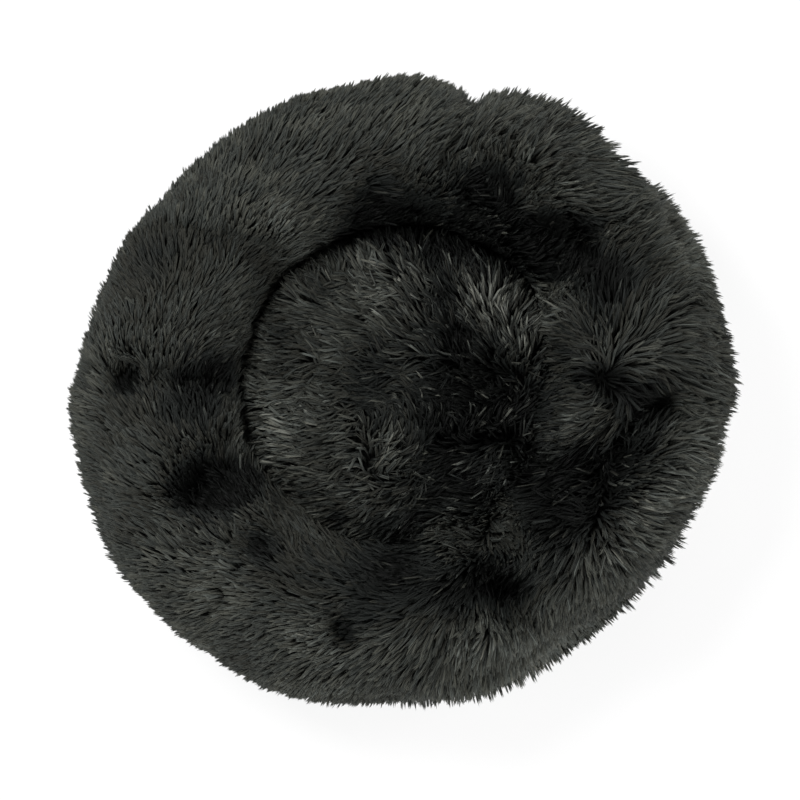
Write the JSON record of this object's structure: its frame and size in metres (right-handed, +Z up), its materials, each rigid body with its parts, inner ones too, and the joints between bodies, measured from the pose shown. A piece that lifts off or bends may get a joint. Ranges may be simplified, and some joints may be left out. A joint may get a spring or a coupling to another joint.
{
  "type": "donut pet bed",
  "caption": "Round plush pet bed: a stuffed long-pile rim with soft tucks round a domed seat, and a zip in the rim's foot.",
  "frame": {"origin": "on the floor, under the middle of the bed", "axes": "+Z up, +Y towards the far side, where the zip's slider rests, +X to the right"},
  "size_m": [0.5926, 0.5679, 0.2008],
  "materials": {
    "pile_cloth": "long pile",
    "base_cloth": "coated plain weave",
    "lining_cloth": "non-woven",
    "fibre_fill": "loose fibre",
    "tape_weave": "woven tape",
    "tooth_plastic": "moulded",
    "slider_metal": "dark plated"
  },
  "bodies": {
    "bed": {"base_panel": "base_cloth", "rim_cover_left": "pile_cloth", "rim_cover_right": "pile_cloth", "seat_cover": "pile_cloth", "seat_seam_binding": "tape_weave", "bolster_lining_top": "lining_cloth", "bolster_lining_bottom": "lining_cloth", "bolster_filling_1": "fibre_fill", "bolster_filling_2": "fibre_fill", "bolster_filling_3": "fibre_fill", "bolster_filling_4": "fibre_fill", "bolster_filling_5": "fibre_fill", "bolster_filling_6": "fibre_fill", "bolster_filling_7": "fibre_fill", "bolster_filling_8": "fibre_fill", "pad_lining_top": "lining_cloth", "pad_lining_bottom": "lining_cloth", "pad_filling": "fibre_fill", "zip_tape_upper": "tape_weave", "zip_tape_lower": "tape_weave", "zip_teeth_upper": "tooth_plastic", "zip_teeth_lower": "tooth_plastic", "zip_top_stop_upper": "slider_metal", "zip_top_stop_lower": "slider_metal", "zip_bottom_stop": "slider_metal"},
    "slider": {"zip_slider": "slider_metal"},
    "pull": {"zip_pull_tab": "slider_metal"}
  },
  "joints": [
    {"name": "zip_run", "type": "hinge", "parent": "bed", "child": "slider", "pos_m": [0, 0, 0.036], "axis": [0, 0, 1], "range_deg": [-78.5, 0], "deforming": ["zip_teeth_upper", "zip_teeth_lower"]},
    {"name": "pull_swing", "type": "hinge", "parent": "slider", "child": "pull", "pos_m": [0.06815, 0.2635, 0.03794], "axis": [-0.1058, -0.4092, 0.9063], "range_deg": [-175, 0]}
  ]
}
